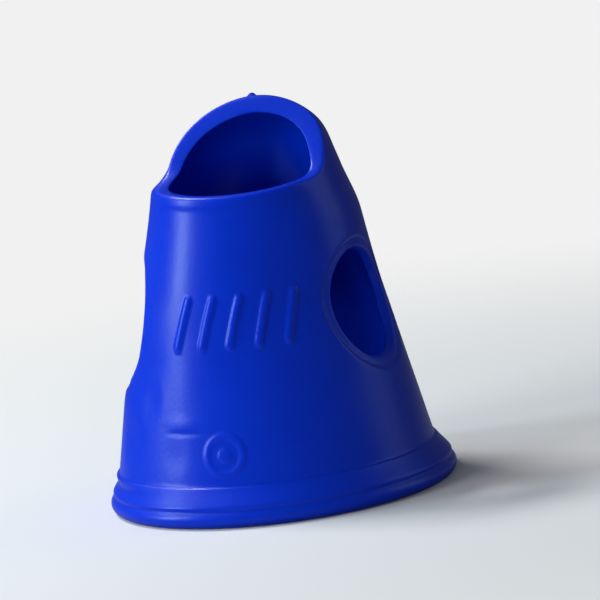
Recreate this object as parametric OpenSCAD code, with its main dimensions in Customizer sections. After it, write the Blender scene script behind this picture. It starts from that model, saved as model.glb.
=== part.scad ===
// Rubber finger tip: a thin moulded cone that is pulled over a finger to grip paper.
// It stands on its rim, with the open nail side towards -Y and the closed pad side towards +Y.

/* [Wall] */
// Height from the rim to the crown of the dome
height = 33.2; // [31:0.1:38]
// Thickness of the rubber wall
wall = 1; // [0.7:0.05:1.4]
// Outer diameter of the skirt just above the rim band
skirt_d = 26.1; // [24:0.1:29]
// Outer diameter of the cone at the height of the front lip
tip_d = 16.6; // [15:0.1:18.5]
// Height of the rounded dome that closes the end
dome_h = 7.6; // [6.6:0.1:8.4]
// Thickness of the rubber at the crown of the dome
crown = 1.5; // [0.8:0.05:1.8]

/* [Rim] */
// Height of the rim band, from the table to its ledge
band_h = 3.2; // [2.6:0.05:4.2]
// How far the ledge stands out from the skirt
ledge_step = 0.35; // [0.15:0.05:0.6]
// How much the band's radius grows from the ledge down to the bead
band_flare = 1; // [0.4:0.05:1.3]
// Radius of the rounded bead at the foot of the band
bead_r = 0.75; // [0.55:0.05:0.9]
// How far the bead stands out from the band
bead_out = 0.25; // [0.1:0.05:0.5]
// Depth of the fine groove between the band and the bead
groove_d = 0.18; // [0.08:0.02:0.3]
// Width of that groove
groove_w = 0.3; // [0.16:0.02:0.4]
// Bevel inside the mouth, where the finger goes in
mouth_bevel = 0.4; // [0.2:0.05:0.7]

/* [Nail opening] */
// Height of the lip at the front
lip_h = 26.1; // [25.4:0.1:27.6]
// How steeply the lip rises towards the back, in degrees
lip_tilt = 7; // [0:0.5:12]
// Distance from the axis forward to the foot of the arch
arch_foot = 3; // [2:0.1:4.5]
// How far the arch leans back from upright, in degrees
arch_lean = 36; // [25:1:42]
// Radius of the inner corner between the lip and the arch
corner_r = 1; // [0.4:0.1:1.6]

/* [Pressed hood] */
// How far the hood's flank at -X is pressed in at its deepest
press_depth = 1.1; // [0.8:0.05:1.5]
// Radius of the flattened flank, which is wider than the dome's own
press_r = 22; // [20:0.5:26]
// Angle of the press above the level, in degrees
press_up = 44; // [40:1:48]
// Angle of the press around the axis, from -X towards the front, in degrees
press_turn = 17; // [5:1:30]

/* [Vent holes] */
// Angle from the front centre to each vent hole, in degrees
vent_angle = 78; // [62:1:90]
// Height of the middle of the vent holes
vent_h = 15.6; // [14.5:0.1:18.5]
// Width of a vent hole
vent_w = 8.7; // [6:0.1:9.6]
// Height of a vent hole
vent_l = 9.4; // [6:0.1:10]
// Width of the sunk collar around a vent hole
collar_w = 0.8; // [0.4:0.05:1.2]
// How deep the collar is sunk into the wall
collar_t = 0.2; // [0.1:0.05:0.4]

/* [Raised marks] */
// How far the marks stand out from the wall
mark_t = 0.2; // [0.1:0.05:0.4]
// Number of slanted dashes across the front
dash_count = 5; // [3:1:6]
// Length of a dash
dash_l = 4.4; // [2:0.1:5]
// Width of a dash
dash_w = 0.6; // [0.4:0.05:1.2]
// Angle around the wall from one dash to the next, in degrees
dash_step = 13; // [10:0.5:14]
// Angle from the front centre to the middle of the row of dashes, in degrees
dash_angle = 5; // [-5:1:10]
// Slant of the dashes, in degrees
dash_slant = 16; // [0:1:25]
// Height of the middle of the dashes
dash_h = 16.2; // [14:0.1:19]
// Outer diameter of the small ring mark near the rim
spot_d = 3.6; // [3:0.1:4.8]
// Width of the line that draws the ring mark
spot_line = 0.5; // [0.4:0.05:0.9]
// Diameter of the dot in the ring mark
dot_d = 1.1; // [0.8:0.1:1.6]
// Height of the middle of the ring mark
spot_h = 5.7; // [5.7:0.1:8.5]
// Angle from the front centre to the ring mark, in degrees
spot_angle = -3; // [-20:1:20]
// Diameter of the moulding nib on the dome
nib_d = 0.6; // [0.4:0.05:1]
// How far the nib stands out of the dome
nib_h = 0.55; // [0.3:0.05:0.8]
// Distance from the arch's edge back to the nib
nib_gap = 0.15; // [0.1:0.05:0.6]

/* [Hidden] */
$fn = 96;

// The cone's radius shrinks by this much for each millimetre of height
cone_slope = (skirt_d - tip_d) / 2 / (lip_h - band_h);
cone_angle = atan(cone_slope);

// The dome is an ellipse that touches the cone, so there is no crease between them
dome_z = height - dome_h;
dome_a = dome_radius(cone_r(dome_z), dome_h);
hollow_h = dome_h - crown;
hollow_a = dome_radius(cone_r(dome_z) - wall_across(), hollow_h);
dome_steps = 14;

rim_r = cone_r(band_h) + ledge_step + band_flare + bead_out;
band_foot_r = rim_r - bead_out;
ledge_round = 0.12;
arc_steps = 6;

// The bead's round ends where it meets the groove
bead_end = 55;
groove_z = bead_r * (1 + sin(bead_end)) + groove_w / 4;

// How far a raised mark reaches down into the wall, and how far a cutter reaches past it
sink = wall / 2;
clear = 5;
ellipse_steps = 48;

// Height of the arch's foot, and how far back the arch meets the height of the crown
foot_z = lip_h + (tip_d / 2 - arch_foot) * tan(lip_tilt);
peak_y = (height - foot_z) * tan(arch_lean) - arch_foot;

// The nib stands just behind the arch, with its root in the thickness of the dome
nib_y = peak_y + nib_gap + nib_d / 2;
nib_root = crown / 2;

// The flattened flank is part of a wide level cylinder, whose axis lies this far from the dome's middle
press_reach = dome_reach(press_up) - press_depth - press_r;
press_x = -press_reach * cos(press_up);
press_z = dome_z + press_reach * sin(press_up);

// At this height that cylinder stands out furthest from the cone, so the press leaves all below it as it is
press_foot = press_z + (cone_r(press_z) + press_x) * cos(cone_angle) * sin(cone_angle);

// Outer radius of the cone at height z
function cone_r(z) = skirt_d / 2 - cone_slope * (z - band_h);

// Thickness of the sloping wall, measured level
function wall_across() = wall / cos(cone_angle);

// Level half width of an ellipse of half height b that touches a cone of radius c at its middle
function dome_radius(c, b) = sqrt(c * c - pow(cone_slope * b, 2));

// Angle up the ellipse at which the cone touches it
function touch_angle(a, b) = atan(cone_slope * b / a);

// Height of the dome's outer surface at a distance back from the axis
function dome_top(y) = dome_z + dome_h * sqrt(1 - pow(y / dome_a, 2));

// Distance from the dome's middle to a plane that touches its outer surface, in a direction above the level
function dome_reach(up) = sqrt(pow(dome_a * cos(up), 2) + pow(dome_h * sin(up), 2));

// Points of the ellipse from the cone up to the crown
function dome_points(a, b) = [
    for (i = [0:dome_steps])
        let (t = touch_angle(a, b) + (90 - touch_angle(a, b)) * i / dome_steps)
        [a * cos(t), dome_z + b * sin(t)]
];

// Points of an arc about a centre, between two angles
function arc_points(centre, radius, from, to) = [
    for (i = [0:arc_steps])
        let (t = from + (to - from) * i / arc_steps)
        centre + radius * [cos(t), sin(t)]
];

// Points of an upright ellipse of width w and height l
function ellipse_points(w, l) = [
    for (i = [0:ellipse_steps - 1])
        [w / 2 * cos(360 * i / ellipse_steps), l / 2 * sin(360 * i / ellipse_steps)]
];

// Outline of the rim: the bead, the groove, the flared band and its ledge
function rim_points() = concat(
    arc_points([rim_r - bead_r, bead_r], bead_r, -90, bead_end),
    [
        [band_foot_r - groove_d, groove_z],
        [band_foot_r, groove_z + groove_w / 2],
        [cone_r(band_h) + ledge_step, band_h - ledge_round],
        [cone_r(band_h) + ledge_step - ledge_round, band_h],
        [cone_r(band_h), band_h]
    ]
);

// Outline of the hollow, from the crown down to the bevelled mouth
function hollow_points() = concat(
    [for (i = [dome_steps:-1:0]) dome_points(hollow_a, hollow_h)[i]],
    [
        [cone_r(mouth_bevel) - wall_across(), mouth_bevel],
        [cone_r(0) - wall_across() + mouth_bevel, 0]
    ]
);

// The outer shape with its rim, turned about the finger's axis
module outer_shape() {
    rotate_extrude()
        polygon(concat([[0, 0]], rim_points(), dome_points(dome_a, dome_h)));
}

// The hollow for the finger, which runs out through the mouth
module hollow() {
    mouth_r = cone_r(0) - wall_across() + mouth_bevel;
    rotate_extrude()
        polygon(concat(hollow_points(), [[mouth_r, -clear], [0, -clear]]));
}

// The room that a pressed shape keeps: all of it low down, and the inside of a wide level cylinder above
module press_room(inset) {
    rotate([0, 0, press_turn]) {
        translate([-2 * rim_r, -2 * rim_r, -2 * clear])
            cube([4 * rim_r, 4 * rim_r, press_foot + 2 * clear]);
        translate([press_x, 0, press_z])
            rotate([90, 0, 0])
                cylinder(r = press_r - inset, h = 4 * rim_r, center = true);
    }
}

// The thin wall, whose two skins are pressed in together so that it keeps its thickness
module pressed_wall() {
    difference() {
        intersection() {
            outer_shape();
            press_room(0);
        }
        intersection() {
            hollow();
            press_room(wall);
        }
    }
}

// A skin that follows the cone from z0 to z1, between two distances out from its surface
module cone_skin(z0, z1, from, to) {
    near = from / cos(cone_angle);
    far = to / cos(cone_angle);
    rotate_extrude()
        polygon([
            [cone_r(z0) + near, z0],
            [cone_r(z0) + far, z0],
            [cone_r(z1) + far, z1],
            [cone_r(z1) + near, z1]
        ]);
}

// Turns a shape drawn in X and Y so that it points out of the wall at an angle and a height
module face_out(angle, z) {
    rotate([0, 0, angle])
        translate([0, 0, z])
            rotate([90, 0, 0])
                children();
}

// The cutter for the sunk collar around a vent hole
module vent_collar(angle) {
    reach = vent_l / 2 + collar_w + clear / 2;
    intersection() {
        cone_skin(vent_h - reach, vent_h + reach, -collar_t, clear);
        face_out(angle, vent_h)
            linear_extrude(height = skirt_d)
                polygon(ellipse_points(vent_w + 2 * collar_w, vent_l + 2 * collar_w));
    }
}

// The cutter for a vent hole
module vent_hole(angle) {
    face_out(angle, vent_h)
        linear_extrude(height = skirt_d)
            polygon(ellipse_points(vent_w, vent_l));
}

// The row of slanted dashes across the front
module dashes() {
    intersection() {
        cone_skin(dash_h - dash_l, dash_h + dash_l, -sink, mark_t);
        union() {
            for (i = [0:dash_count - 1])
                face_out(dash_angle + (i - (dash_count - 1) / 2) * dash_step, dash_h)
                    rotate([0, 0, -dash_slant])
                        translate([-dash_w / 2, -dash_l / 2, 0])
                            cube([dash_w, dash_l, skirt_d]);
        }
    }
}

// The small ring and dot near the rim
module spot() {
    intersection() {
        cone_skin(spot_h - spot_d, spot_h + spot_d, -sink, mark_t);
        face_out(spot_angle, spot_h)
            union() {
                difference() {
                    cylinder(d = spot_d, h = skirt_d);
                    translate([0, 0, -clear])
                        cylinder(d = spot_d - 2 * spot_line, h = skirt_d + 2 * clear);
                }
                cylinder(d = dot_d, h = skirt_d);
            }
    }
}

// The cutter for the nail opening: a tilted lip, a leaning arch and a round corner between them
module nail_cut() {
    front = -rim_r - clear;
    top_z = height + clear;
    turn = 90 - arch_lean - lip_tilt;
    inset = corner_r / tan((180 - turn) / 2);
    corner = [-arch_foot, foot_z];
    centre = corner + inset * [-cos(lip_tilt), -sin(lip_tilt)] + corner_r * [-sin(lip_tilt), cos(lip_tilt)];
    rotate([90, 0, 90])
        translate([0, 0, -rim_r])
            linear_extrude(height = 2 * rim_r)
                polygon(concat(
                    [[front, foot_z + (front + arch_foot) * tan(lip_tilt)]],
                    arc_points(centre, corner_r, lip_tilt - 90, -arch_lean),
                    [
                        [-arch_foot + (top_z - foot_z) * tan(arch_lean), top_z],
                        [front, top_z]
                    ]
                ));
}

// The small nib that the mould leaves on the dome, just behind the arch
module nib() {
    translate([0, nib_y, dome_top(nib_y) - nib_root])
        cylinder(d = nib_d, h = nib_root + nib_h);
}

module finger_tip() {
    color("mediumblue")
        difference() {
            union() {
                pressed_wall();
                dashes();
                spot();
                nib();
            }
            for (side = [-1, 1]) {
                vent_collar(side * vent_angle);
                vent_hole(side * vent_angle);
            }
            nail_cut();
        }
}

finger_tip();
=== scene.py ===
# %% [markdown]
# # A rubber finger tip
# A rubber finger tip is a thin moulded cone that is pulled over a finger to grip paper.
# It has a beaded rim, two oval vent holes, an open side for the nail and a hood over the finger's end.
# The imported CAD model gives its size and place. This lesson models it again as one soft mesh, with
# rounded edges and gentle dents, and gives it a satin rubber finish.
# The work goes from the camera and the light to the mesh, then to the small relief, the bends of the
# soft wall and the material.

# %% Load the frame
import math

import bmesh
import bpy
import numpy as np
from mathutils import Matrix, Vector


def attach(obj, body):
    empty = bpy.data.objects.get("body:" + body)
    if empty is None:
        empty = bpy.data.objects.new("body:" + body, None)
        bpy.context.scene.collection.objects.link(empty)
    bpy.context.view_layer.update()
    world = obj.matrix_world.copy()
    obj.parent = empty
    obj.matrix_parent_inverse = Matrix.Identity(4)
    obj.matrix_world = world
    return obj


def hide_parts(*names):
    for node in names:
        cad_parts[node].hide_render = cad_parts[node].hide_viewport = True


MM = 0.001


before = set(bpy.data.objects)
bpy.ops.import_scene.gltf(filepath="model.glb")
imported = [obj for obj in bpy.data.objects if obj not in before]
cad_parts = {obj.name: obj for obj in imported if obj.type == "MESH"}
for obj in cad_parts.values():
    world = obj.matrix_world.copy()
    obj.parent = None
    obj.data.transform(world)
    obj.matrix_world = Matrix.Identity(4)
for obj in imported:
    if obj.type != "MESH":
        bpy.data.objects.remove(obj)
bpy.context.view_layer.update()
print("nodes in the frame:", list(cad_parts))

# %% [markdown]
# ## Camera
# The picture is taken from a little above the rim and a little to the right of the nail opening.
# The finger tip leans to the left in it, so the camera is rolled the other way.
# A long lens from 0.35 m keeps the small thing free of strong perspective.
# The camera looks at a point beside the axis, because the picture is centred on the outline.

# %% Camera
VIEW_AZIMUTH = math.radians(17.5)
VIEW_ELEVATION = math.radians(9)
VIEW_ROLL = math.radians(7.5)
VIEW_DISTANCE = 0.35
FRAME_WIDTH = 0.050
AIM_HEIGHT = 0.0157
AIM_ASIDE = 0.0033
SENSOR_WIDTH = 36
CLIP_START = 0.01


def direction(azimuth, elevation):
    """Unit vector towards a place around the finger tip; azimuth 0 is in front of the nail opening."""
    level = math.cos(elevation)
    return Vector((math.sin(azimuth) * level, -math.cos(azimuth) * level, math.sin(elevation)))


view_right = Vector((math.cos(VIEW_AZIMUTH), math.sin(VIEW_AZIMUTH), 0))
towards_camera = direction(VIEW_AZIMUTH, VIEW_ELEVATION)
camera_data = bpy.data.cameras.new("camera")
camera_data.sensor_width = SENSOR_WIDTH
camera_data.lens = SENSOR_WIDTH * VIEW_DISTANCE / FRAME_WIDTH
camera_data.clip_start = CLIP_START
camera = bpy.data.objects.new("camera", camera_data)
bpy.context.scene.collection.objects.link(camera)
bpy.context.scene.camera = camera
camera.location = Vector((0, 0, AIM_HEIGHT)) + view_right * AIM_ASIDE + towards_camera * VIEW_DISTANCE
turn = (-towards_camera).to_track_quat("-Z", "Y").to_matrix() @ Matrix.Rotation(-VIEW_ROLL, 3, "Z")
camera.rotation_euler = turn.to_euler()
print("camera lens in mm:", round(camera_data.lens, 1))

# %% [markdown]
# ## Lamps
# Satin rubber mirrors each lamp as a soft streak, so the places of the lamps matter as much as their power.
# The side lamp draws the broad pale streak down the left of the cone, and the high side lamp carries it over
# the flared band. The back lamp draws thin pale lines along the ledge, the lip and the arch.
# The main and the front lamp only light the blue itself. Their reflection would lay a grey veil over the
# front, so glossy rays don't see them. A weak cool fill keeps the right side from going black.

# %% Lamps
COOL = (0.72, 0.93, 1.0)
WHITE = (1, 1, 1)
# Each lamp: name, azimuth and elevation in degrees, distance, width and height in metres, power in watts,
# colour, and whether the rubber mirrors it
LAMPS = [
    ("side_lamp", -67, 20, 0.30, 0.06, 0.15, 0.36, COOL, True),
    ("high_side_lamp", -87, 43, 0.30, 0.06, 0.10, 0.10, COOL, True),
    ("back_lamp", -108, 54, 0.30, 0.10, 0.06, 0.55, WHITE, True),
    ("fill_lamp", 110, 22, 0.40, 0.20, 0.30, 0.14, COOL, True),
    ("main_lamp", -37, 20, 0.30, 0.12, 0.12, 0.36, WHITE, False),
    ("front_lamp", -2, 1, 0.30, 0.12, 0.08, 0.24, WHITE, False),
]


def area_lamp(name, azimuth, elevation, distance, width, height, power, colour, mirrored):
    """A rectangular lamp that looks at the middle of the finger tip."""
    data = bpy.data.lights.new(name, "AREA")
    data.shape = "RECTANGLE"
    data.size = width
    data.size_y = height
    data.energy = power
    data.color = colour
    lamp = bpy.data.objects.new(name, data)
    bpy.context.scene.collection.objects.link(lamp)
    towards = direction(math.radians(azimuth), math.radians(elevation))
    lamp.location = Vector((0, 0, AIM_HEIGHT)) + towards * distance
    lamp.rotation_euler = (-towards).to_track_quat("-Z", "Y").to_euler()
    lamp.visible_glossy = mirrored


for lamp_values in LAMPS:
    area_lamp(*lamp_values)
print("lamps:", len(LAMPS))

# %% [markdown]
# ## The world behind
# A white world gives the picture its pale backdrop, but as a light it would wash the deep blue out.
# Light Path tells the camera's rays from all others, so the camera sees a bright world and the rubber is
# lit by a weak one.

# %% World
WORLD_LIGHT = 0.08
BACKDROP = 0.88


def studio_world():
    """A world that is bright for the camera and weak for what it lights."""
    world = bpy.data.worlds.new("studio")
    world.use_nodes = True
    nodes, links = world.node_tree.nodes, world.node_tree.links
    background = nodes["Background"]
    background.inputs["Color"].default_value = (1, 1, 1, 1)
    ray = nodes.new("ShaderNodeLightPath")
    strength = nodes.new("ShaderNodeMapRange")
    strength.inputs["To Min"].default_value = WORLD_LIGHT
    strength.inputs["To Max"].default_value = BACKDROP
    links.new(ray.outputs["Is Camera Ray"], strength.inputs["Value"])
    links.new(strength.outputs["Result"], background.inputs["Strength"])
    return world


bpy.context.scene.world = studio_world()
bpy.context.scene.view_settings.view_transform = "Standard"
print("world seen and world as a light:", BACKDROP, WORLD_LIGHT)

# %% [markdown]
# ## The floor that fades
# A floor that reaches the horizon gets darker away from the lamps and leaves a grey band at the top of the
# picture. So the floor is a pale disc that carries the shadow and fades into the white world around it.
# The fade is the Alpha of its shader, taken from the distance to the middle of the disc.
# A white floor would also throw much light back up at the part. Here Light Path helps again: the floor is
# pale to look at and darker for the light that bounces off it.

# %% Floor finish
FADE_FROM = 0.03
FADE_TO = 0.13
FLOOR_SEEN = (0.84, 0.84, 0.85, 1)
FLOOR_BOUNCE = (0.30, 0.30, 0.31, 1)
FLOOR_ROUGHNESS = 0.9
FLOOR_SPECULAR = 0.1


def fading_floor_finish():
    """A matt pale material that gets clear away from the middle."""
    material = bpy.data.materials.new("floor_finish")
    material.use_nodes = True
    nodes, links = material.node_tree.nodes, material.node_tree.links
    shader = nodes["Principled BSDF"]
    shader.inputs["Roughness"].default_value = FLOOR_ROUGHNESS
    shader.inputs["Specular IOR Level"].default_value = FLOOR_SPECULAR
    where = nodes.new("ShaderNodeTexCoord")
    far = nodes.new("ShaderNodeVectorMath")
    far.operation = "LENGTH"
    fade = nodes.new("ShaderNodeMapRange")
    fade.interpolation_type = "SMOOTHSTEP"
    fade.inputs["From Min"].default_value = FADE_FROM
    fade.inputs["From Max"].default_value = FADE_TO
    fade.inputs["To Min"].default_value = 1
    fade.inputs["To Max"].default_value = 0
    links.new(where.outputs["Object"], far.inputs[0])
    links.new(far.outputs["Value"], fade.inputs["Value"])
    links.new(fade.outputs["Result"], shader.inputs["Alpha"])
    ray = nodes.new("ShaderNodeLightPath")
    colour = nodes.new("ShaderNodeMix")
    colour.data_type = "RGBA"
    colour.inputs["A"].default_value = FLOOR_BOUNCE
    colour.inputs["B"].default_value = FLOOR_SEEN
    links.new(ray.outputs["Is Camera Ray"], colour.inputs["Factor"])
    links.new(colour.outputs["Result"], shader.inputs["Base Color"])
    return material


# %% Floor disc
FLOOR_RADIUS = 0.30
FLOOR_SIDES = 64

bm = bmesh.new()
bmesh.ops.create_circle(bm, cap_ends=True, radius=FLOOR_RADIUS, segments=FLOOR_SIDES)
floor_mesh = bpy.data.meshes.new("floor")
bm.to_mesh(floor_mesh)
bm.free()
floor = bpy.data.objects.new("floor", floor_mesh)
bpy.context.scene.collection.objects.link(floor)
floor_mesh.materials.append(fading_floor_finish())
print("floor radius in m:", FLOOR_RADIUS)

# %% [markdown]
# ## The sizes
# All sizes are in millimetres, as on the CAD model, and the finished mesh is scaled to metres at the end.
# The wall is a straight cone that a half ellipse closes. Its radius at any height follows from three
# values, so the rim, the vents and the marks all find their place on it with one function.

# %% Sizes of the wall
HEIGHT = 33.2
WALL = 1.0
SKIRT_D = 26.1
TIP_D = 16.6
LIP_H = 26.1
BAND_H = 3.2
DOME_H = 7.6
CROWN = 1.5

CONE_SLOPE = (SKIRT_D - TIP_D) / 2 / (LIP_H - BAND_H)
CONE_ANGLE = math.atan(CONE_SLOPE)
DOME_Z = HEIGHT - DOME_H


def cone_r(z, out=0.0):
    """Radius of the cone at height z, on a skin that lies a distance out from the outer wall."""
    return SKIRT_D / 2 - CONE_SLOPE * (z - BAND_H) + out / math.cos(CONE_ANGLE)


print("radius at the rim band and at the lip:", round(cone_r(BAND_H), 2), round(cone_r(LIP_H), 2))

# %% [markdown]
# ## The way up the wall
# The upper part of the wall ends where the nail opening is cut, and that is at another height on each side.
# So the wall is described as a path in radius and height, up the cone and over the dome.
# NumPy measures the path's length, and any place on it is then found by its distance along the path.
# Below the path lies the belt, the straight stretch of the cone that holds the vents.

# %% Paths up the outer and the inner wall
VENT_Z = 15.6
BELT_HALF = 6.6
BELT_TOP = VENT_Z + BELT_HALF
PATH_STEPS = 200


def path_up(out, dome_height):
    """Points (radius, height) from the belt's top to the crown, and their distances along the way."""
    c = cone_r(DOME_Z, out)
    a = math.sqrt(c * c - (CONE_SLOPE * dome_height) ** 2)
    touch = math.atan(CONE_SLOPE * dome_height / a)
    t = np.linspace(touch, math.pi / 2, PATH_STEPS)
    dome = np.stack([a * np.cos(t), DOME_Z + dome_height * np.sin(t)], axis=1)
    z = np.linspace(BELT_TOP, dome[0, 1], PATH_STEPS)[:-1]
    cone = np.stack([cone_r(z, out), z], axis=1)
    points = np.concatenate([cone, dome])
    steps = np.linalg.norm(np.diff(points, axis=0), axis=1)
    return points, np.concatenate([[0], np.cumsum(steps)])


def on_path(path, s):
    """Radius and height at a distance along the path."""
    points, along = path
    return float(np.interp(s, along, points[:, 0])), float(np.interp(s, along, points[:, 1]))


outer_path = path_up(0, DOME_H)
inner_path = path_up(-WALL, DOME_H - CROWN)
print("length of the outer way in mm:", round(float(outer_path[1][-1]), 2))

# %% [markdown]
# ## The nail opening
# The mould leaves the nail side open: a nearly level lip at the front, and an arch that leans back.
# Both are planes, and a round corner joins them. The distance to that wedge says how far a place on the
# wall is from the cut, and the wall's path is followed up until it gets there.

# %% Where the wall meets the nail opening
LIP_TILT = math.radians(7)
ARCH_FOOT = 3.0
ARCH_LEAN = math.radians(36)
CORNER_R = 1.0
FOOT_Z = LIP_H + (TIP_D / 2 - ARCH_FOOT) * math.tan(LIP_TILT)


def outside_cut(y, z):
    """Distance of places to the cut wedge; it is negative where the rubber is cut away."""
    over_lip = (z - FOOT_Z) * math.cos(LIP_TILT) - (y + ARCH_FOOT) * math.sin(LIP_TILT)
    before_arch = (z - FOOT_Z) * math.sin(ARCH_LEAN) - (y + ARCH_FOOT) * math.cos(ARCH_LEAN)
    a = CORNER_R - over_lip
    b = CORNER_R - before_arch
    return np.minimum(np.maximum(a, b), 0) + np.hypot(np.maximum(a, 0), np.maximum(b, 0)) - CORNER_R


def way_to_cut(path, angle):
    """Distance along the path at which the wall on the side of this angle meets the cut."""
    points, along = path
    gap = outside_cut(-points[:, 0] * math.cos(angle), points[:, 1])
    i = int(np.argmax(gap < 0))
    return float(np.interp(0, [gap[i], gap[i - 1]], [along[i], along[i - 1]]))


for degrees in (0, 60, 90, 180):
    cut_at = on_path(outer_path, way_to_cut(outer_path, math.radians(degrees)))
    print("the cut at", degrees, "degrees, radius and height:", [round(c, 2) for c in cut_at])

# %% [markdown]
# ## The rim's section
# The rim is a ledge, a band that flares out, a fine groove and a round bead, and the mouth inside it has a
# small bevel. A Subdivision Surface will round these points later. So a corner that has to stay crisp
# needs two points close to it, and a flat stretch needs only a few.

# %% Section of the rim
LEDGE_STEP = 0.35
BAND_TOP = 2.95
BAND_FALL = 1.25
BAND_FLARE = 1.0
BAND_STEPS = (0.02, 0.35, 0.75, 0.98)
GROOVE_Z = 1.46
GROOVE_D = 0.18
BEAD_OUT = 0.25
BEAD_R = 0.75
BEAD_DEGREES = (50, 22, -5, -35, -65)
BEVEL = 0.4
RIM_R = cone_r(BAND_H) + LEDGE_STEP + BAND_FLARE + BEAD_OUT
# Points close to a corner, as their places across and up from it
LEDGE_INNER = [(0.02, 0.06), (0.07, 0)]
LEDGE_OUTER = (-0.14, 0)
BEVEL_FOOT = [(0.1, 0), (-0.08, 0.06)]
BEVEL_TOP = (0.03, -0.08)


def bead_point(degrees):
    """A point on the bead's round, where 0 degrees is its outermost place."""
    a = math.radians(degrees)
    return RIM_R - BEAD_R + BEAD_R * math.cos(a), BEAD_R + BEAD_R * math.sin(a)


def rim_section():
    """Points of the rim, from the ledge down the flared band, round the bead and into the mouth."""
    ledge = cone_r(BAND_H)
    edge = ledge + LEDGE_STEP
    bevel_foot = cone_r(0, -WALL) + BEVEL
    points = [(ledge + across, BAND_H + up) for across, up in LEDGE_INNER]
    points += [(edge + LEDGE_OUTER[0], BAND_H + LEDGE_OUTER[1])]
    points += [(edge + BAND_FLARE * t, BAND_TOP - BAND_FALL * t) for t in BAND_STEPS]
    points += [(RIM_R - BEAD_OUT - GROOVE_D, GROOVE_Z)]
    points += [bead_point(degrees) for degrees in BEAD_DEGREES]
    points += [(RIM_R - BEAD_R, 0)]
    points += [(bevel_foot + across, up) for across, up in BEVEL_FOOT]
    points += [(cone_r(BEVEL, -WALL) + BEVEL_TOP[0], BEVEL + BEVEL_TOP[1])]
    return points


print("points of the rim:", len(rim_section()), "rim diameter in mm:", round(2 * RIM_R, 2))

# %% [markdown]
# ## The wall's section
# The wall is modelled as one closed loop of points, which will be turned about the finger's axis. It runs
# from the nail opening down the outside, round the rim, up the inside and across the cut face.
# Each row of points has a name, because the rows are moved in groups afterwards. The rows are close
# together at the cut edge, at the vents' belt and where the marks will be raised.

# %% Rows of the section
EDGE_NEAR = 0.13
EDGE_FAR = 0.45
EDGE_REST = 1.1
OUTER_EVEN = 7
INNER_EVEN = 5
BELT_ROWS = 14
MARK_ROWS = 9
MARK_Z = (3.7, 8.2)
SKIRT_FOOT = 0.2
INNER_SKIRT_Z = (0.7, 2.2, 5.5)

rows = {}
section = []


def upper_distances(length, even):
    """Distances along a path for the rows above the belt, close together at the cut edge."""
    rest = length - EDGE_REST
    return [rest * (i + 1) / even for i in range(even)] + [length - EDGE_FAR, length - EDGE_NEAR]


def add_rows(name, points):
    """Adds named rows to the section and remembers their numbers."""
    rows[name] = range(len(section), len(section) + len(points))
    section.extend(points)


belt_z = [BELT_TOP - 2 * BELT_HALF * i / BELT_ROWS for i in range(BELT_ROWS + 1)]
mark_z = list(np.linspace(MARK_Z[1], MARK_Z[0], MARK_ROWS))
front_out = way_to_cut(outer_path, 0)
front_in = way_to_cut(inner_path, 0)
add_rows("outer_top", [on_path(outer_path, s) for s in reversed(upper_distances(front_out, OUTER_EVEN))])
add_rows("outer_belt", [(cone_r(z), z) for z in belt_z])
add_rows("skirt", [(cone_r(z), z) for z in mark_z + [BAND_H + SKIRT_FOOT]])
add_rows("rim", rim_section())
add_rows("inner_skirt", [(cone_r(z, -WALL), z) for z in INNER_SKIRT_Z])
add_rows("inner_belt", [(cone_r(z, -WALL), z) for z in reversed(belt_z)])
add_rows("inner_top", [on_path(inner_path, s) for s in upper_distances(front_in, INNER_EVEN)])
add_rows("cut_face", [(cone_r(LIP_H, -WALL / 2), LIP_H)])
print("rows in the section:", len(section))

# %% [markdown]
# ## Spinning the wall
# `bmesh.ops.spin` turns the loop of points about the axis. The front carries fine relief and needs narrow
# columns, and the plain back doesn't, so the spin runs in sectors with steps of different widths.
# An integer layer keeps each vertex's row number through the spin, because the copies inherit it.

# %% Spin the section
VENT_ANGLE = 78
WINDOW_HALF = 36
FRONT_HALF = VENT_ANGLE - WINDOW_HALF
BACK = 360 - 2 * FRONT_HALF - 4 * WINDOW_HALF
MERGE_WITHIN = 0.01
# Each sector: its width in degrees and its number of steps, from the front over +X
SECTORS = [(2 * FRONT_HALF, 28), (2 * WINDOW_HALF, 12), (BACK, 16), (2 * WINDOW_HALF, 12)]


def spin_wall():
    """The closed wall as a bmesh, with the row numbers in a layer."""
    bm = bmesh.new()
    row_of = bm.verts.layers.int.new("row")
    start = Matrix.Rotation(math.radians(-FRONT_HALF), 3, "Z")
    loop = []
    for i, (r, z) in enumerate(section):
        vertex = bm.verts.new(start @ Vector((0, -r, z)))
        vertex[row_of] = i
        loop.append(vertex)
    edges = [bm.edges.new((a, b)) for a, b in zip(loop, loop[1:] + loop[:1])]
    moving = loop + edges
    for span, steps in SECTORS:
        made = bmesh.ops.spin(
            bm, geom=moving, cent=(0, 0, 0), axis=(0, 0, 1), angle=math.radians(span), steps=steps
        )
        moving = made["geom_last"]
    bmesh.ops.remove_doubles(bm, verts=bm.verts[:], dist=MERGE_WITHIN)
    return bm, row_of


wall, row_of = spin_wall()
print("after the spin:", len(wall.verts), "vertices,", len(wall.faces), "faces")

# %% [markdown]
# ## Pulling the top rows to the cut
# The rows above the belt were spun level. Each column now slides its vertices up its own path until the
# last one is at the cut, so the rows gather at the lip and spread over the hood.
# The row of the cut face lies halfway between the two edges.

# %% Shape the upper rows
def side_of(vertex):
    """Angle around the axis, from the front towards +X."""
    return math.atan2(vertex.co.x, -vertex.co.y)


def put(vertex, angle, r, z):
    """Moves a vertex to an angle, a radius and a height."""
    vertex.co = (r * math.sin(angle), -r * math.cos(angle), z)


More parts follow.
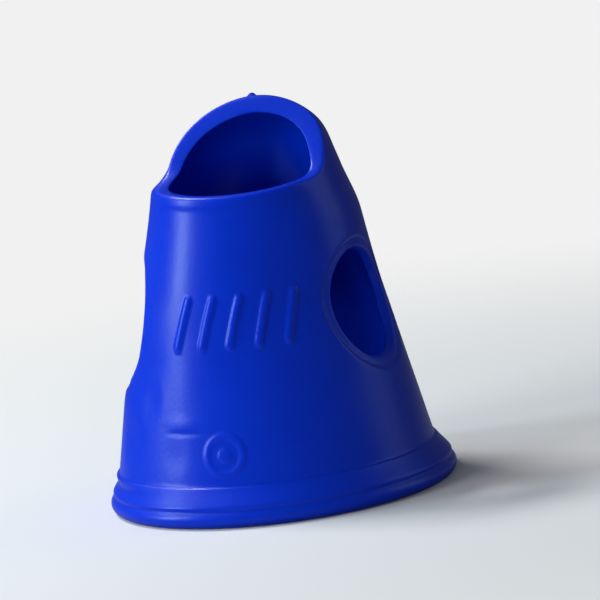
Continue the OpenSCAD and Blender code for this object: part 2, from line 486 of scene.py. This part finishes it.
def shape_upper_rows():
    """Slides the rows above the belt up to the cut."""
    for vertex in wall.verts:
        angle = side_of(vertex)
        row = vertex[row_of]
        if row in rows["outer_top"]:
            reach = list(reversed(upper_distances(way_to_cut(outer_path, angle), OUTER_EVEN)))
            put(vertex, angle, *on_path(outer_path, reach[rows["outer_top"].index(row)]))
        elif row in rows["inner_top"]:
            reach = upper_distances(way_to_cut(inner_path, angle), INNER_EVEN)
            put(vertex, angle, *on_path(inner_path, reach[rows["inner_top"].index(row)]))
        elif row in rows["cut_face"]:
            outer_end = on_path(outer_path, way_to_cut(outer_path, angle))
            inner_end = on_path(inner_path, way_to_cut(inner_path, angle))
            put(vertex, angle, (outer_end[0] + inner_end[0]) / 2, (outer_end[1] + inner_end[1]) / 2)


shape_upper_rows()
print("top of the cage in mm:", round(max(v.co.z for v in wall.verts), 2))

# %% [markdown]
# ## The cut face's edges
# The loop has one row in the middle of the cut face, and a Subdivision Surface would make that face round.
# Two more rows, close to the two edges, keep it flat between narrow rounded edges, as the mould leaves it.

# %% Add rows at the edges of the cut face
def split_cut_face():
    """Cuts the edges across the face and puts the new vertices close to its two ends."""
    first, last = rows["outer_top"][0], rows["inner_top"][-1]
    middle = rows["cut_face"][0]
    for edge_row, path, other in ((first, outer_path, inner_path), (last, inner_path, outer_path)):
        across = [e for e in wall.edges if {v[row_of] for v in e.verts} == {edge_row, middle}]
        made = bmesh.ops.subdivide_edges(wall, edges=across, cuts=1)
        for vertex in [g for g in made["geom_inner"] if isinstance(g, bmesh.types.BMVert)]:
            angle = side_of(vertex)
            end = Vector(on_path(path, way_to_cut(path, angle)))
            towards = Vector(on_path(other, way_to_cut(other, angle))) - end
            put(vertex, angle, *(end + towards.normalized() * EDGE_NEAR))
            vertex[row_of] = middle


split_cut_face()
print("after the cut face:", len(wall.verts), "vertices")

# %% [markdown]
# ## The rings of a vent
# A vent hole is an upright oval in a shallow sunk collar, and it narrows a little towards the inside, so
# that it leaves the mould easily. It is described as rings, from the square window in the outer skin to
# the window in the inner one. The first rings shrink from the window to the oval and step down into the
# collar, the middle ones line the hole, and the last ones grow back to the window on the inner skin.

# %% Rings of a vent
VENT_W = 8.7
VENT_L = 9.4
COLLAR_W = 0.8
COLLAR_T = 0.2
VENT_TAPER = 0.3
# Each ring: its distance outside the hole's edge, its place out from the outer skin, and how far it has
# gone from the window to the oval
RINGS = [
    (COLLAR_W + 0.9, 0, 0.45),
    (COLLAR_W + 0.45, 0, 1),
    (COLLAR_W + 0.08, 0, 1),
    (COLLAR_W - 0.08, -COLLAR_T, 1),
    (0.42, -COLLAR_T, 1),
    (0.1, -COLLAR_T, 1),
    (0, -COLLAR_T - 0.1, 1),
    (-VENT_TAPER / 2, -0.6, 1),
    (-VENT_TAPER, -WALL + 0.12, 1),
    (0.12 - VENT_TAPER, -WALL, 1),
    (0.7 - VENT_TAPER, -WALL, 1),
    (1.6, -WALL, 0.5),
]


def shape_ring(vertex, centre, ring):
    """Moves a vertex onto its ring around the vent at this angle."""
    apart, out, oval = ring
    turned = math.remainder(side_of(vertex) - centre, 2 * math.pi)
    z = vertex.co.z
    across = cone_r(z, out) * math.sin(turned)
    round_angle = math.atan2((z - VENT_Z) / VENT_L, across / VENT_W)
    ring_across = (VENT_W / 2 + apart) * math.cos(round_angle)
    ring_z = VENT_Z + (VENT_L / 2 + apart) * math.sin(round_angle)
    across += (ring_across - across) * oval
    z += (ring_z - z) * oval
    put(vertex, centre + math.asin(across / cone_r(z, out)), cone_r(z, out), z)


print("rings of a vent:", len(RINGS))

# %% [markdown]
# ## Cutting the vents
# A round hole in a square grid is made as a modeller would do it by hand. The faces of a window are deleted
# in the outer and in the inner wall, and the two openings are bridged. The bridge's edges are then cut as
# often as there are rings. Each new vertex lies between the two skins, and its depth tells its ring.

# %% Cut and bridge the windows
ANGLE_SLACK = 0.01


def window_faces(belt, centre):
    """The faces of one belt that lie in the window around a vent."""
    found = []
    for face in wall.faces:
        turned = [math.remainder(side_of(v) - centre, 2 * math.pi) for v in face.verts]
        inside = all(abs(t) < math.radians(WINDOW_HALF) + ANGLE_SLACK for t in turned)
        if inside and all(v[row_of] in rows[belt] for v in face.verts):
            found.append(face)
    return found


def cut_vent(centre):
    """Opens both walls, bridges them and shapes the bridge; returns how much it cut and made."""
    for belt in ("outer_belt", "inner_belt"):
        bmesh.ops.delete(wall, geom=window_faces(belt, centre), context="FACES")
    border = [e for e in wall.edges if e.is_boundary]
    bridge = bmesh.ops.bridge_loops(wall, edges=border)
    through = [e for e in bridge["edges"] if abs(e.verts[0][row_of] - e.verts[1][row_of]) > BELT_ROWS]
    made = bmesh.ops.subdivide_edges(wall, edges=through, cuts=len(RINGS), use_grid_fill=True)
    inner = {g for g in made["geom_inner"] if isinstance(g, bmesh.types.BMVert)}
    for vertex in inner:
        below_skin = cone_r(vertex.co.z) - math.hypot(vertex.co.x, vertex.co.y)
        depth = below_skin * math.cos(CONE_ANGLE) / WALL
        shape_ring(vertex, centre, RINGS[round(depth * (len(RINGS) + 1)) - 1])
    return len(through), len(inner)


for side in (-1, 1):
    edges_cut, vertices_made = cut_vent(side * math.radians(VENT_ANGLE))
    print("vent:", edges_cut, "edges cut,", vertices_made, "vertices made")

# %% [markdown]
# ## From cage to rubber
# The cage is closed now. Its normals are made to point outwards, and a Subdivision Surface turns it into a
# fine mesh with soft edges. The modifier's result is kept as the mesh itself, because the relief of the
# marks and the dents is modelled on its small faces.

# %% Subdivide the cage
LEVELS = 2

bmesh.ops.recalc_face_normals(wall, faces=wall.faces[:])
open_edges = sum(e.is_boundary for e in wall.edges)
loose_edges = sum(not e.link_faces for e in wall.edges)
print("open edges:", open_edges, "loose edges:", loose_edges)
cage = bpy.data.meshes.new("finger_tip_cage")
wall.to_mesh(cage)
wall.free()
body = bpy.data.objects.new("rubber_finger_tip", cage)
bpy.context.scene.collection.objects.link(body)
rounding = body.modifiers.new("rounding", "SUBSURF")
rounding.levels = LEVELS
rounding.render_levels = LEVELS
depsgraph = bpy.context.evaluated_depsgraph_get()
fine = bpy.data.meshes.new_from_object(body.evaluated_get(depsgraph))
body.modifiers.clear()
body.data = fine
fine.name = "rubber_finger_tip"
fine.polygons.foreach_set("use_smooth", [True] * len(fine.polygons))
print("fine mesh:", len(fine.vertices), "vertices,", 2 * len(fine.polygons), "triangles")

# %% [markdown]
# ## Moving many vertices
# A loop over a hundred thousand vertices is slow. `foreach_get` copies all their places into one NumPy
# array, every move is a sum over that array, and `foreach_set` writes it back.
# A smooth step blends each move in and out, so that no crease is left at its border.

# %% Helpers for moving vertices
def smooth_step(x, low, high):
    """0 below low, 1 above high, and a smooth rise between them."""
    t = np.clip((x - low) / (high - low), 0, 1)
    return t * t * (3 - 2 * t)


def read_vertices(mesh, what):
    """All places or normals of a mesh as rows of three numbers."""
    values = np.zeros(len(mesh.vertices) * 3)
    mesh.vertices.foreach_get(what, values)
    return values.reshape(-1, 3)


def write_vertices(mesh, places):
    """Writes all places back to the mesh."""
    mesh.vertices.foreach_set("co", places.ravel())
    mesh.update()


def local_place(places, angle, z):
    """Distance across and up from a point on the wall, seen from straight outside."""
    across = places[:, 0] * math.cos(angle) + places[:, 1] * math.sin(angle)
    return across, places[:, 2] - z


# %% [markdown]
# ## Shapes of the raised marks
# The front carries a row of slanted dashes, raised by 0.22 mm, and a small ring with a dot, raised by
# 0.10 mm. They are moulded in one with the wall, so they will be made by pushing the wall's own vertices
# out. Each shape is a signed distance, which is negative inside the mark.

# %% Dashes and ring mark
DASH_T = 0.22
DASH_COUNT = 5
DASH_L = 4.4
DASH_W = 0.6
DASH_STEP = math.radians(13)
DASH_ANGLE = math.radians(5)
DASH_SLANT = math.radians(16)
DASH_Z = 16.2
SPOT_T = 0.10
SPOT_D = 3.6
SPOT_LINE = 0.5
DOT_D = 1.1
SPOT_Z = 5.7
SPOT_ANGLE = math.radians(-3)


def dash_distance(places, angle):
    """Signed distance to one slanted dash with round ends."""
    across, up = local_place(places, angle, DASH_Z)
    along = up * math.cos(DASH_SLANT) + across * math.sin(DASH_SLANT)
    beside = across * math.cos(DASH_SLANT) - up * math.sin(DASH_SLANT)
    half = DASH_L / 2 - DASH_W / 2
    return np.hypot(beside, np.maximum(np.abs(along) - half, 0)) - DASH_W / 2


def spot_distance(places):
    """Signed distance to the ring and its dot."""
    across, up = local_place(places, SPOT_ANGLE, SPOT_Z)
    far = np.hypot(across, up)
    ring = np.abs(far - (SPOT_D - SPOT_LINE) / 2) - SPOT_LINE / 2
    return np.minimum(ring, far - DOT_D / 2)


# %% [markdown]
# ## The lip's band and the nib
# Two more low forms belong to the mould. The front lip is a little thicker than the wall, which shows as a
# soft band under its edge. And where the rubber was let into the mould, a small nib stands on the crown.

# %% Lip band and nib
LIP_BAND_T = 0.08
LIP_BAND_EDGE = (0.5, 1.1)
LIP_BAND_FRONT = (-6.5, -4.5)
NIB_H = 0.3
NIB_EDGE = (0.12, 0.6)
NIB_BACK = 2.3
NIB_ASIDE = -0.4


def lip_band(places):
    """Height of the low band below the front lip."""
    near_lip = 1 - smooth_step(outside_cut(places[:, 1], places[:, 2]), *LIP_BAND_EDGE)
    near_front = 1 - smooth_step(places[:, 1], *LIP_BAND_FRONT)
    return LIP_BAND_T * near_lip * near_front


def nib(places):
    """Height of the small nib that the mould leaves on the crown."""
    far = np.hypot(places[:, 0] - NIB_ASIDE, places[:, 1] - NIB_BACK)
    return NIB_H * (1 - smooth_step(far, *NIB_EDGE)) * (places[:, 2] > HEIGHT - CROWN / 2)


# %% [markdown]
# ## Pushing the relief out
# Every vertex moves along its own normal by the height of the mark that it lies in. A smooth step over the
# signed distance gives the marks soft flanks. Only the outer skin of the front takes the marks, and the nib
# is added after that, because it stands behind the arch.

# %% Push out the marks
FLANK = 0.10


def raised(distance, height):
    """Height of a mark at a signed distance from its outline."""
    return height * (1 - smooth_step(distance, -FLANK, FLANK))


def push_marks(mesh):
    """Raises all the marks and returns how many vertices moved clearly."""
    places = read_vertices(mesh, "co")
    normals = read_vertices(mesh, "normal")
    radius = np.hypot(places[:, 0], places[:, 1])
    outside = radius > cone_r(places[:, 2], -WALL / 2)
    front = places[:, 1] < 0
    lift = np.zeros(len(places))
    for i in range(DASH_COUNT):
        angle = DASH_ANGLE + (i - (DASH_COUNT - 1) / 2) * DASH_STEP
        lift = np.maximum(lift, raised(dash_distance(places, angle), DASH_T))
    lift = np.maximum(lift, raised(spot_distance(places), SPOT_T))
    lift = np.maximum(lift, lip_band(places))
    lift *= outside & front
    lift += nib(places)
    write_vertices(mesh, places + normals * lift[:, None])
    return int((lift > DASH_T / 2).sum())


print("vertices in the marks:", push_marks(fine))

# %% [markdown]
# ## Bends of the top
# The rubber is thin, and its hood is pushed over to one side. It is bent as it would bend under a thumb:
# the wall moves as a whole, so both skins go together and no thickness is lost.
# Each bend is a smooth field over all places. The whole top sways and turns a little, the hood's left flank
# goes in above the lip, the crown leans the same way, and the right side is squeezed in at the lip.

# %% Bend the top
TWIST = math.radians(3.5)
TWIST_Z = (20.4, 25.9)
PRESS_TURN = math.radians(17)
SWAY = 0.45
SWAY_Z = (16.0, 25.9)
PRESS = 1.2
PRESS_Z = (26.3, 27.9)
PRESS_SPREAD = (0.6, 0.3)
PRESS_REACH = 10
PRESS_LEFT = 0.95
EASE_Z = (27.9, 31.9)
LEAN = 0.4
LEAN_Z = (27.9, 32.4)
LEAN_ACROSS = (-3.0, 6.0)
SQUEEZE = 0.45
SQUEEZE_IN_Z = (22.8, 27.0)
SQUEEZE_OUT_Z = (27.5, 31.5)

press_way = np.array([math.cos(PRESS_TURN), math.sin(PRESS_TURN), 0])


def turn_top(places):
    """Twists everything above the vents about the axis, a little more the higher it is."""
    angle = TWIST * smooth_step(places[:, 2], *TWIST_Z)
    x, y = places[:, 0].copy(), places[:, 1].copy()
    places[:, 0] = x * np.cos(angle) - y * np.sin(angle)
    places[:, 1] = x * np.sin(angle) + y * np.cos(angle)


def press_hood(places):
    """Pushes the hood's left flank in, squeezes its right side and lets the crown lean."""
    z = places[:, 2]
    back = np.clip(places[:, 1] + ARCH_FOOT, 0, PRESS_REACH)
    low = PRESS_Z[0] - PRESS_SPREAD[0] * back
    high = PRESS_Z[1] + PRESS_SPREAD[1] * back
    flank = 1 - smooth_step(places @ press_way, *LEAN_ACROSS)
    eased = 1 - (1 - PRESS_LEFT) * smooth_step(z, *EASE_Z)
    press = PRESS * eased * smooth_step(z, low, high)
    lean = LEAN * smooth_step(z, *LEAN_Z)
    squeeze = SQUEEZE * smooth_step(z, *SQUEEZE_IN_Z) * (1 - smooth_step(z, *SQUEEZE_OUT_Z))
    sway = SWAY * smooth_step(z, *SWAY_Z)
    places += np.outer(sway + press * flank + (lean - squeeze) * (1 - flank), press_way)


# %% [markdown]
# ## Soft dents in the skirt
# The lower left of the skirt is puffed out, and it has a few soft dents and one short crease, as thin
# rubber keeps them after it was pressed. They move the wall straight out from the axis or in towards it.
# A dent is a smooth bowl on an oval patch, so a list with a line for each is all that they need.

# %% Bend the skirt
BULGE = 0.55
BULGE_SIDE = math.radians(-72)
BULGE_HALF = math.radians(48)
BULGE_CORE = 0.2
BULGE_RISE_Z = (2.4, 3.2)
BULGE_FALL_Z = (9.0, 13.4)
TINY = 1e-9
# Each dent: angle, height, half width, half height and depth; a negative depth is a bump
DENTS = [
    (-62.0, 15.5, 6.5, 5.0, -0.30),
    (-20.0, 7.5, 2.6, 0.35, 0.06),
    (-20.0, 8.3, 3.0, 0.9, -0.04),
    (-40.0, 9.9, 1.8, 2.4, 0.12),
    (-25.0, 5.6, 1.8, 1.8, 0.04),
    (-52.0, 6.6, 2.0, 2.4, 0.10),
]


def outwards_of(places):
    """Level unit vectors from the axis towards the places."""
    level = places * [1, 1, 0]
    return level / (np.linalg.norm(level, axis=1)[:, None] + TINY)


def bulge_skirt(places):
    """Pushes the lower left of the skirt out."""
    side = np.arctan2(places[:, 0], -places[:, 1])
    near = 1 - smooth_step(np.abs(side - BULGE_SIDE), BULGE_CORE * BULGE_HALF, BULGE_HALF)
    z = places[:, 2]
    high = smooth_step(z, *BULGE_RISE_Z) * (1 - smooth_step(z, *BULGE_FALL_Z))
    places += outwards_of(places) * (BULGE * near * high)[:, None]


def dent_skirt(places):
    """Makes the soft dents and the crease."""
    outwards = outwards_of(places)
    for degrees, z, half_across, half_up, depth in DENTS:
        angle = math.radians(degrees)
        across, up = local_place(places, angle, z)
        near = 1 - smooth_step(np.hypot(across / half_across, up / half_up), 0, 1)
        near *= outwards @ [math.sin(angle), -math.cos(angle), 0] > 0
        places -= outwards * (depth * near)[:, None]


# %% [markdown]
# ## All bends together
# The small dents come first, while the wall still is a true cone, and the press on the hood comes last.

# %% Bend the wall
def bend_wall(mesh):
    """Runs all bends over the mesh and returns its width, depth and height."""
    places = read_vertices(mesh, "co")
    for bend in (dent_skirt, bulge_skirt, turn_top, press_hood):
        bend(places)
    write_vertices(mesh, places)
    return np.ptp(places, axis=0)


print("size of the bent wall in mm:", [round(float(s), 2) for s in bend_wall(fine)])

# %% [markdown]
# ## The skin of moulded rubber
# The rubber is a saturated blue all through, with a satin skin from the mould. Nothing is painted on it.
# A slow noise clouds the colour and the gloss a little, and a fine noise gives a very shallow bump.
# Both are kept in a node group, which puts out only what changes over the surface.

# %% Node group for the skin
CLOUD_SCALE = 180
CLOUD_DETAIL = 3
SKIN_SCALE = 2600
SKIN_DETAIL = 4
ROUGHNESS = (0.28, 0.36)
BUMP_STRENGTH = 0.12
BUMP_DISTANCE = 0.0001


def add_noise(nodes, scale, detail):
    """A noise texture node with its scale and detail set."""
    noise = nodes.new("ShaderNodeTexNoise")
    noise.inputs["Scale"].default_value = scale
    noise.inputs["Detail"].default_value = detail
    return noise


def moulded_skin_group():
    """A node group: colour clouding, roughness and bump of a moulded rubber skin."""
    group = bpy.data.node_groups.new("moulded_skin", "ShaderNodeTree")
    for name in ("Colour", "Cloud colour"):
        group.interface.new_socket(name, in_out="INPUT", socket_type="NodeSocketColor")
    for name, kind in (("Colour", "Color"), ("Roughness", "Float"), ("Normal", "Vector")):
        group.interface.new_socket(name, in_out="OUTPUT", socket_type="NodeSocket" + kind)
    nodes, links = group.nodes, group.links
    given = nodes.new("NodeGroupInput")
    result = nodes.new("NodeGroupOutput")
    where = nodes.new("ShaderNodeTexCoord")
    cloud = add_noise(nodes, CLOUD_SCALE, CLOUD_DETAIL)
    skin = add_noise(nodes, SKIN_SCALE, SKIN_DETAIL)
    mix = nodes.new("ShaderNodeMix")
    mix.data_type = "RGBA"
    rough = nodes.new("ShaderNodeMapRange")
    rough.inputs["To Min"].default_value = ROUGHNESS[0]
    rough.inputs["To Max"].default_value = ROUGHNESS[1]
    bump = nodes.new("ShaderNodeBump")
    bump.inputs["Strength"].default_value = BUMP_STRENGTH
    bump.inputs["Distance"].default_value = BUMP_DISTANCE
    links.new(where.outputs["Object"], cloud.inputs["Vector"])
    links.new(where.outputs["Object"], skin.inputs["Vector"])
    links.new(cloud.outputs["Fac"], mix.inputs["Factor"])
    links.new(given.outputs["Colour"], mix.inputs["A"])
    links.new(given.outputs["Cloud colour"], mix.inputs["B"])
    links.new(cloud.outputs["Fac"], rough.inputs["Value"])
    links.new(skin.outputs["Fac"], bump.inputs["Height"])
    links.new(mix.outputs["Result"], result.inputs["Colour"])
    links.new(rough.outputs["Result"], result.inputs["Roughness"])
    links.new(bump.outputs["Normal"], result.inputs["Normal"])
    return group


# %% [markdown]
# ## The rubber
# Light that enters blue rubber comes out a little further on, mostly as blue. Subsurface does that, and it
# keeps the shaded side and the thin edges from going grey. Values that are the same all over the rubber are
# set on the shader's own sockets.

# %% Rubber finish
RUBBER_BLUE = (0.0, 0.025, 0.54, 1)
RUBBER_LIGHT = (0.0, 0.036, 0.62, 1)
RUBBER_VALUES = {
    "IOR": 1.5,
    "Specular IOR Level": 0.32,
    "Subsurface Weight": 0.5,
    "Subsurface Radius": (0.3, 0.4, 1.0),
    "Subsurface Scale": 0.0012,
}


def rubber_finish():
    """The satin blue material of the whole piece."""
    material = bpy.data.materials.new("blue_rubber")
    material.use_nodes = True
    nodes, links = material.node_tree.nodes, material.node_tree.links
    shader = nodes["Principled BSDF"]
    skin = nodes.new("ShaderNodeGroup")
    skin.node_tree = moulded_skin_group()
    skin.inputs["Colour"].default_value = RUBBER_BLUE
    skin.inputs["Cloud colour"].default_value = RUBBER_LIGHT
    for output, socket in (("Colour", "Base Color"), ("Roughness", "Roughness"), ("Normal", "Normal")):
        links.new(skin.outputs[output], shader.inputs[socket])
    for socket, value in RUBBER_VALUES.items():
        shader.inputs[socket].default_value = value
    return material


fine.materials.append(rubber_finish())
print("materials:", [material.name for material in fine.materials])

# %% [markdown]
# ## Into the frame
# The mesh is scaled to metres, and the object itself stays at the origin, as the CAD model's does.
# It rides on the part's one body, stands for the plain CAD solid and takes the rubber's material slot.

# %% Place the finished piece
fine.transform(Matrix.Scale(MM, 4))
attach(body, "root")
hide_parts("finger_tip")
